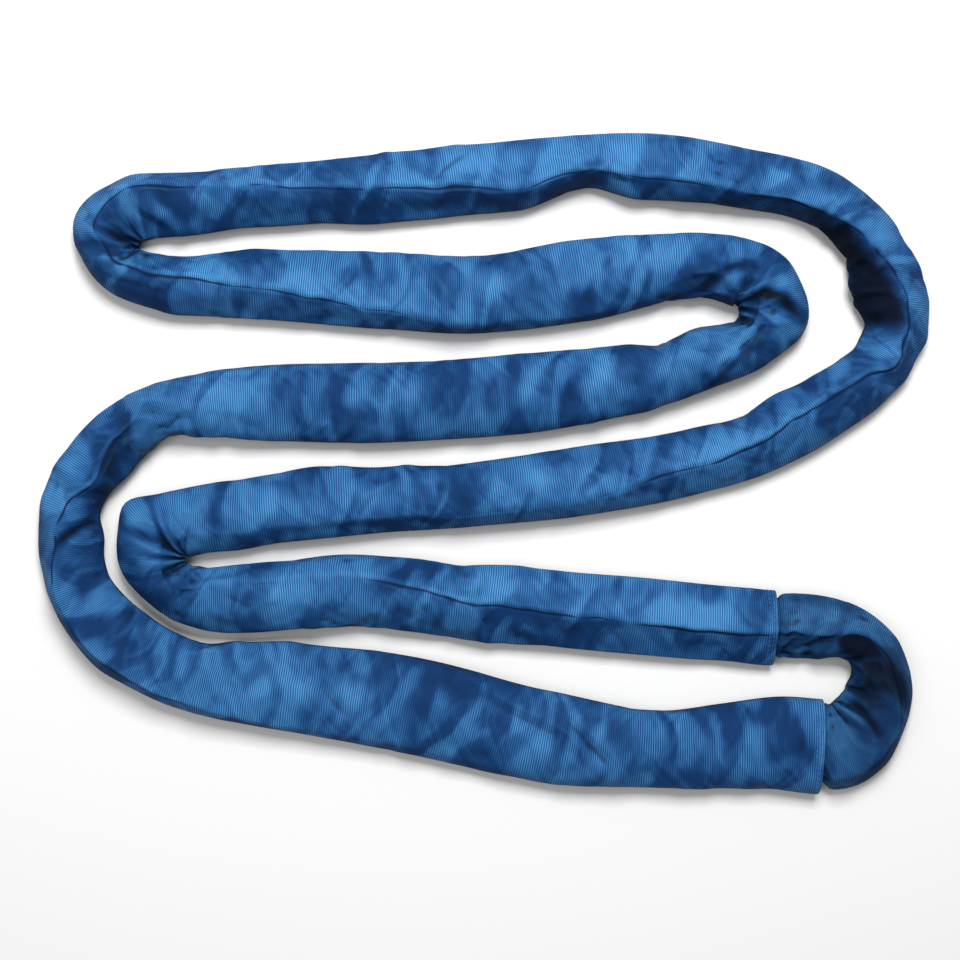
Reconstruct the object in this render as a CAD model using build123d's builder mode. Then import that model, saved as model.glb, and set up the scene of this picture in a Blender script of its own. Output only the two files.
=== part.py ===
"""An endless round sling: a woven tubular sleeve over a hank of yarn, lying in a serpentine.

Millimetres. The sling lies flat: its underside is at z = 0, +X runs along the serpentine's long legs,
+Y runs across them, and the origin is the centre of its box at the underside.
"""

import math
import os

from build123d import *

os.makedirs("parts", exist_ok=True)

# Sleeve section, a flat-sided oval
SLEEVE_WIDTH = 54.0
SLEEVE_HEIGHT = 36.0
SLEEVE_WALL = 1.5
JOINT_WALL = 1.5
JOINT_CLEARANCE = 0.3

# Core: a hank of yarn turns in rows, packed like stacked tubes, as thick as the sleeve's width allows
TURN_ROWS = (4, 5, 4)
TURN_GAP = 0.2
CORE_CLEARANCE = 0.3
TAPE_WALL = 0.8
TAPE_LENGTH = 24.0

# Stitching at each end of the main sleeve
STITCH_ROWS = 2
STITCH_THICKNESS = 0.8
STITCH_FROM_EDGE = 2.0
STITCH_PITCH = 2.5

# Share of the shorter run that each bend takes at its corner
TANGENT_SHARE = 0.45

# The loop's corners in order, chosen by hand, from the first sleeve end all the way round
ROUTE = [
    (196, -136), (122, -131), (0, -118), (-112, -108), (-203, -117), (-249, -114),
    (-268.5, -94.5), (-268.5, -67.5), (-249, -48), (-203, -49), (-128, -42), (-20, -34),
    (80, -24), (172, -6), (250, 21), (303, 57), (330, 97), (331, 144),
    (310, 182), (265, 210), (205, 227), (130, 237), (25, 230), (-90, 213),
    (-190, 204), (-243, 204.5), (-284.5, 201.5), (-303, 183), (-303, 157), (-284.5, 138.5),
    (-245, 138), (-180, 134), (-90, 130), (0, 128.5), (80, 142), (165, 151),
    (211, 151), (229, 136), (233, 113), (221.5, 92.5), (181, 75.5), (118, 60),
    (30, 49), (-70, 44), (-165, 43), (-232, 40), (-284, 22), (-317, -18),
    (-333, -68), (-324, -118), (-291, -154), (-235, -175), (-160, -186), (-60, -199),
    (45, -225), (135, -235), (228, -232), (287, -235), (311, -216), (320, -182),
    (303, -152), (268, -138),
]  # fmt: skip

# Where the sleeves end, as (corner the run leaves, distance along it)
MAIN_START = (61, 34.0)
MAIN_END = (56, 43.0)
JOINT_START = (55, 58.0)
JOINT_END = (0, 36.0)
TAPE_MIDDLE = (32, 47.0)

centre_z = SLEEVE_HEIGHT / 2
joint_inset = SLEEVE_WALL + JOINT_CLEARANCE
core_inset = joint_inset + JOINT_WALL
core_width = SLEEVE_WIDTH - 2 * (core_inset + CORE_CLEARANCE)
turn_pitch = (core_width + TURN_GAP) / max(TURN_ROWS)
turn_diameter = turn_pitch - TURN_GAP
row_pitch = turn_pitch * math.sin(math.radians(60))


def corner_radii(corners):
    """The largest bend each corner of the closed loop has room for."""
    radii = []
    for before, here, after in zip(corners[-1:] + corners[:-1], corners, corners[1:] + corners[:1]):
        run_in, run_out = Vector(*here) - Vector(*before), Vector(*after) - Vector(*here)
        half_turn = math.radians(run_in.get_angle(run_out)) / 2
        radii.append(TANGENT_SHARE * min(run_in.length, run_out.length) / math.tan(half_turn))
    return radii


def point_on_run(place):
    """The point at a distance along the run that leaves a corner, and the run's direction."""
    corner, distance = place
    here, after = Vector(*ROUTE[corner]), Vector(*ROUTE[(corner + 1) % len(ROUTE)])
    direction = (after - here).normalized()
    return here + direction * distance, direction


def section_plane(place):
    """The plane across the sling at a place, with its x level and its y up."""
    point, direction = point_on_run(place)
    return Plane(point + Vector(0, 0, centre_z), x_dir=direction.cross(Vector(0, 0, 1)), z_dir=direction)


def route_between(start, end):
    """The route from one place forwards round the loop to another, and the bends on it."""
    first, last = start[0] + 1, end[0]
    if last < first:
        last += len(ROUTE)
    passed = [corner % len(ROUTE) for corner in range(first, last + 1)]
    points = [point_on_run(start)[0], *(Vector(*ROUTE[corner]) for corner in passed), point_on_run(end)[0]]
    return [point + Vector(0, 0, centre_z) for point in points], [route_radii[corner] for corner in passed]


def shifted_route(shift):
    """The loop's corners moved sideways, to the left of the way it runs."""
    corners, radii = [], []
    for index, here in enumerate(ROUTE):
        before, after = ROUTE[index - 1], ROUTE[(index + 1) % len(ROUTE)]
        run_in = (Vector(*here) - Vector(*before)).normalized()
        run_out = (Vector(*after) - Vector(*here)).normalized()
        left = Vector(0, 0, 1).cross(run_in + run_out).normalized()
        corners.append(Vector(*here) + left * (shift / left.dot(Vector(0, 0, 1).cross(run_in))))
        turns_left = run_in.cross(run_out).Z > 0
        radii.append(route_radii[index] - (shift if turns_left else -shift))
    return corners, radii


def sleeve_profile(inset, wall):
    """The oval ring of a sleeve whose outside is set in from the main sleeve's outside."""
    SlotOverall(SLEEVE_WIDTH - 2 * inset, SLEEVE_HEIGHT - 2 * inset)
    SlotOverall(SLEEVE_WIDTH - 2 * (inset + wall), SLEEVE_HEIGHT - 2 * (inset + wall), mode=Mode.SUBTRACT)


def export(part, name):
    """Label a finished piece and write it."""
    part.label = name
    export_step(part, f"parts/{name}.step")


def check_volume(name, part, area, path):
    """Print a swept piece's volume beside its section times its length."""
    length = path.wire().length
    print(f"{name}: volume {part.volume:.0f}, section x length {area * length:.0f}, length {length:.1f}")


route_radii = corner_radii(ROUTE)
print("bend radii:", " ".join(f"{radius:.1f}" for radius in route_radii))

# Stitch rows: a thread ring sunk flush in a groove, two by each end of the main sleeve
stitch_places = {}
for row in range(STITCH_ROWS):
    inwards = STITCH_FROM_EDGE + row * STITCH_PITCH
    stitch_places[f"stitch_row_a_{row + 1}"] = (MAIN_START[0], MAIN_START[1] + inwards)
    stitch_places[f"stitch_row_b_{row + 1}"] = (MAIN_END[0], MAIN_END[1] - inwards)

stitches = {}
for name, place in stitch_places.items():
    with BuildPart() as stitch_row:
        with BuildSketch(section_plane(place)):
            sleeve_profile(0, STITCH_THICKNESS)
        extrude(amount=STITCH_THICKNESS / 2, both=True)
    stitches[name] = stitch_row.part
    export(stitch_row.part, name)

# Main sleeve: one long tube, open at both ends
main_points, main_radii = route_between(MAIN_START, MAIN_END)
with BuildPart() as main_sleeve:
    with BuildLine() as main_path:
        FilletPolyline(*main_points, radius=main_radii)
    with BuildSketch(section_plane(MAIN_START)) as main_profile:
        sleeve_profile(0, SLEEVE_WALL)
    sweep(path=main_path.line)
    check_volume("main_sleeve", main_sleeve.part, main_profile.sketch.area, main_path)
    for stitch in stitches.values():
        add(stitch, mode=Mode.SUBTRACT)
export(main_sleeve.part, "main_sleeve")

# Joint sleeve: the short inner tube that both ends of the main sleeve lie over
joint_points, joint_radii = route_between(JOINT_START, JOINT_END)
with BuildPart() as joint_sleeve:
    with BuildLine() as joint_path:
        FilletPolyline(*joint_points, radius=joint_radii)
    with BuildSketch(section_plane(JOINT_START)) as joint_profile:
        sleeve_profile(joint_inset, JOINT_WALL)
    sweep(path=joint_path.line)
check_volume("joint_sleeve", joint_sleeve.part, joint_profile.sketch.area, joint_path)
export(joint_sleeve.part, "joint_sleeve")

# Core: every turn is a closed loop beside its neighbours
turn_places = []
for row, count in enumerate(TURN_ROWS):
    rise = (row - (len(TURN_ROWS) - 1) / 2) * row_pitch
    for column in range(count):
        turn_places.append(((column - (count - 1) / 2) * turn_pitch, rise))

for number, (shift, rise) in enumerate(turn_places, start=1):
    corners, radii = shifted_route(shift)
    height = Vector(0, 0, centre_z + rise)
    with BuildPart() as core_turn:
        with BuildLine() as turn_path:
            FilletPolyline(*(corner + height for corner in corners), radius=radii, close=True)
        start_plane = Plane(origin=turn_path.line @ 0, z_dir=turn_path.line % 0)
        with BuildSketch(start_plane) as turn_profile:
            Circle(turn_diameter / 2)
        sweep(path=turn_path.line)
    name = f"core_turn_{number:02d}"
    check_volume(name, core_turn.part, turn_profile.sketch.area, turn_path)
    export(core_turn.part, name)

# Tape round the whole hank, where the yarn's two ends are joined
with BuildPart() as yarn_end_tape:
    with BuildSketch(section_plane(TAPE_MIDDLE)):
        sleeve_profile(core_inset - TAPE_WALL, TAPE_WALL)
    extrude(amount=TAPE_LENGTH / 2, both=True)
export(yarn_end_tape.part, "yarn_end_tape")
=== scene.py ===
"""Looks of the endless round sling: two woven sleeves that crease, gather in the bends and wrinkle.

Metres. The sling lies on the floor plane, its long legs along X. Sizes in the tables are in millimetres.
"""

import math

import bmesh
import bpy
import numpy as np
from mathutils import Matrix, Vector


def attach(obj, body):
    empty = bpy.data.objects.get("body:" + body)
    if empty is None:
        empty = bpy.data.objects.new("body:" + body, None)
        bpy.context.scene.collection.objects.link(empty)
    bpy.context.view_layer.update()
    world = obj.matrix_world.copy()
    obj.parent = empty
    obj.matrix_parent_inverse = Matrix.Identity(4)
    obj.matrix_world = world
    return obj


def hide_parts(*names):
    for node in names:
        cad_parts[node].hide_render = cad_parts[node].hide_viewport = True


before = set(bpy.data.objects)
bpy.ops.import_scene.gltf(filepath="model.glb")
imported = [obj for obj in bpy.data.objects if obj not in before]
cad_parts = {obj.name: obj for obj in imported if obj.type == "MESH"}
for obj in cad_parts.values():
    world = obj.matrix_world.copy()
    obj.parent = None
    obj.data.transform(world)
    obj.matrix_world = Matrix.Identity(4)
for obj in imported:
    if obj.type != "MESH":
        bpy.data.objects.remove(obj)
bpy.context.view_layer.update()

MM = 0.001

# The loop's corners in order, from the first sleeve end all the way round
ROUTE = [
    (196, -136), (122, -131), (0, -118), (-112, -108), (-203, -117), (-249, -114),
    (-268.5, -94.5), (-268.5, -67.5), (-249, -48), (-203, -49), (-128, -42), (-20, -34),
    (80, -24), (172, -6), (250, 21), (303, 57), (330, 97), (331, 144),
    (310, 182), (265, 210), (205, 227), (130, 237), (25, 230), (-90, 213),
    (-190, 204), (-243, 204.5), (-284.5, 201.5), (-303, 183), (-303, 157), (-284.5, 138.5),
    (-245, 138), (-180, 134), (-90, 130), (0, 128.5), (80, 142), (165, 151),
    (211, 151), (229, 136), (233, 113), (221.5, 92.5), (181, 75.5), (118, 60),
    (30, 49), (-70, 44), (-165, 43), (-232, 40), (-284, 22), (-317, -18),
    (-333, -68), (-324, -118), (-291, -154), (-235, -175), (-160, -186), (-60, -199),
    (45, -225), (135, -235), (228, -232), (287, -235), (311, -216), (320, -182),
    (303, -152), (268, -138),
]  # fmt: skip

# Where the sleeves end, and the corners that each one passes
MAIN_START = (234, -137.1)
MAIN_END = (271, -234.2)
JOINT_START = (193, -233.2)
JOINT_END = (160, -133.6)
MAIN_CORNERS = list(range(0, 57))
JOINT_CORNERS = [56, 57, 58, 59, 60, 61, 0]

# How the main sleeve lies, at corners of the route: how far it reaches to its left and right of the
# line, its height, where its upper crease runs (-1 right edge to 1 left edge) and how sharp that is
MAIN_SHAPE = [
    ("start", 33, 29, 32, 0.18, 1.0),
    (0, 29, 30, 32, 0.16, 1.0),
    (1, 28, 32, 33, 0.1, 1.0),
    (1.5, 29, 31, 34, 0.1, 1.0),
    (2, 31, 30, 34, 0.0, 1.0),
    (2.5, 29, 29, 35, -0.25, 0.8),
    (3, 28, 30, 35, -0.5, 0.5),
    (3.5, 26, 27, 36, -0.55, 0.4),
    (4, 26, 26, 36, -0.55, 0.4),
    (5, 20, 25, 37, -0.30, 0.5),
    (6, 22, 28, 37, -0.45, 0.5),
    (7, 25, 28, 37, -0.40, 0.4),
    (8, 23, 30, 37, -0.50, 0.4),
    (9, 28, 26, 35, -0.55, 0.3),
    (9.5, 29, 22, 35, -0.58, 0.3),
    (10, 33, 22, 35, -0.60, 0.3),
    (10.5, 29, 21, 36, -0.65, 0.3),
    (11, 26, 23, 36, -0.70, 0.3),
    (12, 29, 25, 35, -0.55, 0.3),
    (13, 25, 26, 35, -0.20, 0.6),
    (13.5, 22, 27, 36, -0.05, 0.8),
    (14, 28, 26, 35, 0.2, 0.9),
    (14.5, 25, 25, 36, 0.2, 1.0),
    (15, 22, 27, 37, 0.1, 1.0),
    (15.5, 20, 28, 37, -0.45, 1.0),
    (16, 20, 29, 37, -0.28, 1.0),
    (16.5, 33, 27, 37, -0.08, 1.0),
    (17, 36, 24, 38, 0.15, 1.0),
    (17.5, 32, 20, 38, 0.32, 1.0),
    (18, 26, 22, 38, 0.42, 1.0),
    (19, 20, 25, 37, 0.72, 0.9),
    (20, 24, 22, 36, 0.78, 0.8),
    (21, 27, 24, 36, 0.62, 0.8),
    (21.5, 18, 24, 37, 0.60, 0.9),
    (22, 31, 24, 36, 0.66, 1.0),
    (22.5, 29, 26, 36, 0.45, 1.0),
    (23, 27, 27, 35, 0.15, 1.0),
    (23.5, 21, 27, 35, -0.10, 1.0),
    (24, 20, 26, 36, -0.3, 1.0),
    (25, 26, 21, 36, -0.4, 0.9),
    (26, 27, 25, 37, -0.45, 0.7),
    (27, 26, 30, 37, -0.30, 0.6),
    (28, 25, 17, 37, 0.20, 0.6),
    (29, 25, 16, 37, 0.40, 0.8),
    (30, 22, 24, 36, 0.20, 0.9),
    (31, 31, 24, 35, -0.17, 0.9),
    (31.5, 32, 25, 34, -0.35, 0.8),
    (32, 33, 27, 34, -0.60, 0.7),
    (33, 31, 31, 34, -0.90, 0.3),
    (34, 32, 32, 33, -0.95, 0.2),
    (35, 28, 22, 35, -0.90, 0.2),
    (36, 25, 29, 36, -0.80, 0.3),
    (37, 28, 26, 37, -0.60, 0.4),
    (38, 32, 23, 37, -0.55, 0.5),
    (39, 23, 19, 37, -0.60, 0.4),
    (40, 22, 26, 36, -0.80, 0.3),
    (40.5, 25, 21, 36, -0.88, 0.3),
    (41, 28, 27, 35, -0.95, 0.2),
    (42, 32, 30, 34, -0.98, 0.1),
    (43, 33, 30, 34, -0.98, 0.1),
    (44, 32, 29, 34, -0.90, 0.2),
    (45, 24, 26, 36, -0.70, 0.3),
    (45.5, 18, 26, 37, -0.55, 0.5),
    (46, 22, 27, 37, -0.05, 0.9),
    (47, 26, 29, 36, 0.3, 1.0),
    (47.5, 20, 31, 36, -0.2, 1.0),
    (48, 26, 28, 36, -0.36, 1.0),
    (49, 26, 26, 36, -0.62, 1.0),
    (50, 25, 28, 36, -0.72, 0.9),
    (51, 24, 32, 35, -0.8, 0.6),
    (51.5, 30, 34, 33, -0.85, 0.4),
    (52, 35, 35, 32, -0.9, 0.3),
    (53, 38, 38, 30, -0.85, 0.3),
    (54, 34, 38, 32, -0.90, 0.1),
    (55, 28, 32, 33, -0.95, 0.1),
    (56, 36, 34, 31, -0.90, 0.1),
    ("end", 38, 37, 32, -0.90, 0.1),
]

# The same for the joint sleeve
JOINT_SHAPE = [
    ("start", 24, 24, 27, -0.50, 0.1),
    (56, 27, 26, 28, -0.50, 0.1),
    (57, 34, 36, 32, -0.70, 0.4),
    (58, 33, 28, 33, -0.75, 0.9),
    (59, 28, 27, 33, -0.42, 1.0),
    (60, 14, 28, 32, -0.42, 1.0),
    (61, 24, 28, 31, 0.12, 1.0),
    (0, 30, 26, 27, 0.18, 1.0),
    ("end", 26, 24, 27, 0.25, 0.9),
]

# Folds pressed into the upper side, on the plan: kind, width, depth, and the line each one follows
FOLDS = [
    # joint sleeve
    ("crease", 4.5, 3.5, [(291, -194), (306, -208), (319, -228)]),
    ("crease", 4, 2, [(298, -172), (312, -167), (326, -176)]),
    ("valley", 7, 4, [(282, -146), (298, -146), (312, -158), (310, -172)]),
    ("crease", 4, 2.5, [(322, -158), (330, -178), (338, -205)]),
    # main sleeve by its two ends
    ("valley", 8, 3, [(242, -198), (248, -214), (256, -232), (266, -258)]),
    ("crease", 4, 2, [(214, -206), (222, -222), (226, -246)]),
    ("crease", 5, 2, [(-18, -86), (-15, -94), (-10, -104)]),
    ("valley", 7, 2.5, [(-70, -92), (-50, -100), (-24, -108), (10, -108)]),
    # lower left inner bend
    ("crease", 4.5, 4, [(-247, -76), (-254, -66), (-262, -50)]),
    ("crease", 4.5, 4, [(-249, -74), (-269, -62), (-292, -55)]),
    ("crease", 4.5, 3.5, [(-238, -88), (-254, -94), (-278, -104)]),
    ("crease", 4.5, 3, [(-226, -96), (-236, -106), (-252, -124)]),
    ("ridge", 5, 2, [(-256, -26), (-246, -42), (-236, -60)]),
    # fourth run
    ("valley", 8, 3, [(-196, -24), (-186, -44), (-176, -62)]),
    ("crease", 4.5, 2, [(-212, -30), (-220, -50), (-226, -66)]),
    ("valley", 7, 2.5, [(-90, -16), (-70, -34), (-30, -50)]),
    ("valley", 8, 3, [(120, 4), (132, -14), (150, -30)]),
    # right outer bend
    ("step", 4, 4.5, [(337, 80), (324, 86), (311, 92), (300, 100)]),
    ("crease", 4.5, 3.5, [(292, 118), (304, 122), (318, 124)]),
    ("crease", 4.5, 3.5, [(291, 146), (304, 152), (314, 160)]),
    ("crease", 4.5, 3, [(276, 168), (286, 176), (296, 184)]),
    ("crease", 4.5, 2.5, [(270, 30), (282, 48), (286, 66)]),
    ("crease", 4.5, 2.5, [(252, 16), (256, 34), (250, 52)]),
    ("valley", 7, 2.5, [(232, 8), (236, 30), (226, 44)]),
    # first run
    ("valley", 7, 3.5, [(252, 236), (236, 222), (222, 206)]),
    ("crease", 4.5, 2, [(196, 244), (186, 232), (184, 214)]),
    ("valley", 9, 4, [(150, 248), (164, 234), (172, 214)]),
    ("valley", 8, 3, [(62, 252), (48, 236), (36, 222)]),
    ("crease", 4.5, 2.5, [(-10, 244), (-28, 232), (-40, 216)]),
    # upper left bend
    ("step", 4.5, 4, [(-296, 218), (-284, 206), (-272, 193), (-250, 181)]),
    ("crease", 4.5, 4.5, [(-306, 182), (-292, 176), (-275, 167)]),
    ("crease", 4.5, 3, [(-326, 171), (-308, 168), (-289, 160)]),
    ("valley", 6, 3, [(-266, 212), (-252, 198), (-244, 186)]),
    ("crease", 4.5, 2.5, [(-256, 160), (-262, 146), (-274, 128)]),
    # second run
    ("valley", 7, 3, [(-100, 160), (-92, 140), (-96, 116)]),
    ("crease", 4.5, 2.5, [(-60, 156), (-40, 138), (-34, 112)]),
    ("valley", 7, 3.5, [(96, 172), (108, 152), (104, 130)]),
    ("valley", 6, 3.5, [(146, 172), (160, 152), (156, 138)]),
    # right inner bend
    ("crease", 4.5, 4, [(204, 122), (214, 136), (222, 158)]),
    ("crease", 4.5, 4, [(208, 118), (226, 128), (244, 146)]),
    ("crease", 4.5, 4, [(208, 112), (230, 114), (256, 118)]),
    ("crease", 4.5, 3.5, [(204, 108), (222, 100), (246, 92)]),
    ("valley", 7, 4, [(186, 104), (190, 86), (196, 66)]),
    ("step", 4, 4, [(160, 140), (176, 146), (194, 138), (204, 124)]),
    # third run
    ("valley", 8, 4, [(140, 82), (128, 64), (120, 44)]),
    ("valley", 7, 3, [(84, 78), (76, 58), (66, 34)]),
    ("crease", 4.5, 2.5, [(-24, 74), (-30, 54), (-42, 24)]),
    ("valley", 8, 3, [(-110, 70), (-116, 48), (-124, 22)]),
    ("valley", 8, 3, [(-196, 60), (-190, 40), (-196, 20)]),
    # left outer bend
    ("step", 4.5, 4, [(-262, 20), (-280, 19), (-294, 5), (-305, -13), (-313, -26), (-326, -31)]),
    ("crease", 4.5, 4.5, [(-308, -51), (-330, -62), (-344, -75)]),
    ("crease", 4.5, 2.5, [(-295, -30), (-312, -29), (-328, -40)]),
    ("valley", 6, 3.5, [(-306, -90), (-313, -103), (-322, -116)]),
    ("valley", 8, 4, [(-304, -138), (-290, -148), (-272, -156)]),
    ("ridge", 4.5, 2.5, [(-281, -132), (-278, -140), (-276, -150)]),
    ("crease", 4.5, 3, [(-262, -140), (-268, -152), (-276, -172)]),
    # sixth run
    ("valley", 7, 3, [(-212, -158), (-196, -180), (-196, -206)]),
    ("crease", 4.5, 2, [(-140, -164), (-130, -186), (-106, -212)]),
    ("step", 5, 4, [(-20, -176), (0, -188), (14, -197), (40, -210), (74, -226)]),
    ("valley", 9, 4, [(-60, -170), (-34, -186), (4, -212), (37, -237)]),
    ("crease", 4.5, 3.5, [(63, -208), (82, -226), (103, -252)]),
    ("crease", 4.5, 2.5, [(126, -206), (130, -224), (124, -254)]),
    # the flap that crosses the inner right bend
    ("step", 4, 4, [(228, 106), (202, 78), (174, 52)]),
    ("ridge", 4.5, 2.5, [(226, 114), (200, 88), (176, 60)]),
    ("crease", 4, 2.5, [(232, 106), (242, 94), (248, 82)]),
    ("crease", 4.5, 3, [(176, 128), (188, 146), (206, 153), (226, 148)]),
]

# Painted light (above 0) and painted shade (below 0), laid on the plan as strokes: amount, width, line
LIGHT_AND_SHADE_STROKES = [
    # painted shade in deep pockets and on inner sides, with painted light on the edges beside them
    (-1.6, 10, [(256, 190), (286, 172), (304, 152)]),
    (-1.7, 13, [(304, 156), (306, 126), (314, 98)]),
    (-1.2, 9, [(324, 128), (328, 106), (328, 92)]),
    (-1.0, 6, [(336, 142), (344, 138)]),
    (-1.8, 5, [(212, 126), (224, 132), (236, 124)]),
    (-1.6, 5, [(232, 128), (244, 120), (252, 110)]),
    (-1.8, 5, [(172, 118), (190, 114), (210, 118)]),
    (-1.0, 5, [(174, 126), (186, 144), (206, 152), (222, 148)]),
    (0.9, 5, [(226, 113), (202, 87), (178, 60)]),
    (-1.1, 3, [(229, 102), (202, 76), (174, 50)]),
    (0.7, 4, [(232, 100), (244, 84)]),
    (-1.4, 2.5, [(-304, 181), (-290, 175), (-275, 167)]),
    (-0.6, 9, [(-302, 196), (-292, 188), (-280, 178)]),
    (-0.9, 3.5, [(-326, 171), (-308, 168), (-289, 160)]),
    (-2.0, 8, [(280, -150), (294, -146), (308, -156)]),
    (-1.3, 5, [(324, -160), (332, -180), (339, -205)]),
    (-0.9, 12, [(300, -164), (306, -185), (300, -200)]),
    (-1.0, 3, [(291, -194), (306, -208), (319, -228)]),
    (-0.8, 7, [(242, -198), (248, -214), (256, -232), (266, -258)]),
    (-1.3, 3, [(-258, -58), (-252, -68), (-246, -78)]),
    (-1.2, 3, [(-290, -56), (-269, -62), (-250, -74)]),
    # first run and its bends
    (0.7, 12, [(70, 242), (10, 232), (-44, 228)]),
    (0.5, 12, [(170, 236), (120, 244), (94, 244)]),
    (0.4, 9, [(-60, 216), (-120, 216)]),
    (-0.5, 8, [(90, 214), (20, 202), (-60, 200), (-140, 200), (-240, 204)]),
    (-0.5, 12, [(240, 196), (200, 206), (150, 208)]),
    (0.4, 12, [(250, 222), (220, 228)]),
    (0.5, 9, [(-306, 212), (-320, 194), (-322, 174)]),
    (0.7, 5, [(-287, 212), (-278, 198), (-269, 184)]),
    (0.7, 5, [(-270, 209), (-256, 194), (-241, 180)]),
    (-0.6, 7, [(-262, 212), (-250, 198), (-240, 188)]),
    (0.7, 7, [(-238, 209), (-220, 202), (-204, 194)]),
    (-0.3, 8, [(-184, 209), (-174, 198), (-164, 190)]),
    (-0.5, 10, [(-306, 140), (-270, 124), (-220, 116)]),
    # right outer bend
    (-0.7, 14, [(278, 186), (296, 158), (302, 130), (306, 104)]),
    (-0.8, 14, [(306, 112), (318, 120), (326, 150)]),
    (0.3, 8, [(300, 190), (330, 160), (346, 120), (344, 96)]),
    (0.7, 5, [(308, 84), (322, 81), (336, 79)]),
    (-0.5, 12, [(230, 40), (262, 56), (284, 74)]),
    # second run
    (0.7, 10, [(-236, 152), (-210, 142), (-176, 132)]),
    (0.5, 9, [(-160, 150), (-144, 138), (-130, 124)]),
    (-0.4, 10, [(-110, 152), (-104, 134)]),
    (0.6, 14, [(-30, 146), (0, 136), (26, 128)]),
    (-0.7, 9, [(66, 128), (86, 124), (100, 118)]),
    (0.6, 12, [(100, 158), (130, 160), (160, 156)]),
    (-0.7, 9, [(140, 150), (160, 140), (180, 138), (196, 128)]),
    (0.5, 9, [(232, 146), (246, 136), (250, 122)]),
    (-0.7, 10, [(208, 128), (222, 118), (214, 100)]),
    # third run
    (-0.7, 10, [(160, 60), (184, 58), (206, 66)]),
    (0.6, 8, [(150, 82), (140, 66), (132, 54)]),
    (0.6, 9, [(100, 80), (92, 62), (84, 46)]),
    (-0.5, 8, [(78, 74), (70, 54), (62, 38)]),
    (0.5, 8, [(40, 66), (32, 50), (22, 36)]),
    (-0.5, 9, [(2, 68), (-8, 48), (-16, 28)]),
    (0.7, 12, [(-60, 60), (-58, 44), (-54, 32)]),
    (0.8, 16, [(-236, 48), (-204, 44), (-170, 38)]),
    (-0.4, 9, [(-120, 60), (-112, 40), (-118, 24)]),
    # left outer bend
    (-0.8, 8, [(-278, 32), (-284, 28), (-290, 24)]),
    (-0.5, 9, [(-312, 8), (-304, 6), (-298, 2)]),
    (-1.5, 3, [(-308, -51), (-330, -62), (-343, -75)]),
    (-0.7, 6, [(-308, -96), (-314, -104), (-322, -116)]),
    (-0.5, 10, [(-304, -138), (-290, -148), (-272, -156)]),
    (0.7, 10, [(-306, 20), (-330, -6), (-342, -40), (-344, -90)]),
    (-0.7, 9, [(-276, 26), (-294, 4), (-306, -30), (-304, -70), (-296, -104)]),
    (-0.5, 12, [(-330, -118), (-306, -146), (-276, -166)]),
    # sixth run
    (0.6, 16, [(-210, -172), (-150, -186), (-90, -196)]),
    (-0.8, 7, [(-86, -158), (-50, -162), (-10, -170), (30, -180)]),
    (-0.5, 8, [(-60, -176), (-30, -184), (10, -192)]),
    (-0.5, 9, [(-60, -184), (-44, -206), (-20, -226)]),
    (0.5, 11, [(16, -206), (40, -222), (60, -240)]),
    (0.7, 9, [(92, -210), (90, -228), (94, -250)]),
    (-0.5, 9, [(116, -208), (112, -230), (118, -252)]),
    (-0.4, 12, [(160, -204), (200, -206), (240, -206)]),
    (-0.4, 10, [(150, -256), (210, -262), (260, -262)]),
    # lower left inner bend and the fourth and fifth runs
    (-0.4, 11, [(-288, -80), (-274, -104), (-250, -120)]),
    (0.4, 9, [(-262, -36), (-280, -52), (-286, -70)]),
    (-0.6, 9, [(-262, -84), (-248, -92), (-234, -100)]),
    (0.7, 13, [(-180, -36), (-150, -44), (-120, -46)]),
    (0.6, 10, [(-110, -28), (-84, -32), (-64, -40)]),
    (-0.5, 9, [(-20, -22), (-10, -36), (-16, -50)]),
    (0.6, 11, [(30, -18), (60, -20), (94, -20)]),
    (-0.5, 9, [(116, -2), (124, -20), (130, -34)]),
    (0.5, 12, [(160, 0), (190, 2), (216, 14)]),
    (0.7, 12, [(-190, -112), (-150, -112), (-120, -118)]),
    (-0.9, 9, [(-80, -92), (-50, -90), (-30, -92)]),
    (0.6, 9, [(-80, -114), (-60, -112), (-30, -116)]),
    (0.6, 10, [(-10, -100), (20, -102), (60, -108)]),
    (0.6, 11, [(80, -118), (140, -122), (200, -126)]),
    (-0.4, 8, [(20, -142), (100, -152), (220, -160)]),
    # joint sleeve
    (-0.9, 18, [(286, -148), (312, -158), (322, -186), (314, -212)]),
    (0.5, 8, [(250, -122), (280, -124), (304, -130)]),
    (0.4, 7, [(326, -140), (340, -170), (342, -200)]),
    (-0.5, 12, [(284, -256), (306, -254), (326, -240)]),
    (0.3, 7, [(284, -210), (290, -226), (292, -240)]),
    (-0.5, 16, [(284, -228), (304, -232), (322, -216)]),
]

# Local shifts of the outline, as by a thumb: place, shift, reach
PULLS = [
    ((-18, -89), (0, -3.0), 16),
    ((90, 213), (0, 2.0), 16),
    ((-284, -44), (-8, 9), 20),
    ((-326, 160), (-4, 0), 22),
    ((-160, -14), (0, 3.0), 30),
    ((352, 123), (2.5, 0), 30),
    ((-291, -84), (-3, 0), 24),
    ((-283, -127), (2, 3), 26),
    ((240, -196), (0, 3.0), 25),
    ((287, -177), (3, 1), 14),
    ((293, 92), (3, -2), 14),
]

# The simulated net and the finished one: points round the sleeve, and the space between rings
NET_AROUND = 34
NET_SPACING = 5.3
FINE_AROUND = 70
MAIN_FINE_SPACING = 2.75
JOINT_FINE_SPACING = 2.2
TOP_POINTS = 54

# The body that the cloth gathers over: points round it, how far inside the sleeve, and how far up
CORE_AROUND = 24
CORE_INSET = 4.0
CORE_LIFT = 3.0

# The girth that the cloth is patterned for, in metres
SLEEVE_GIRTH = 0.165

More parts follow.
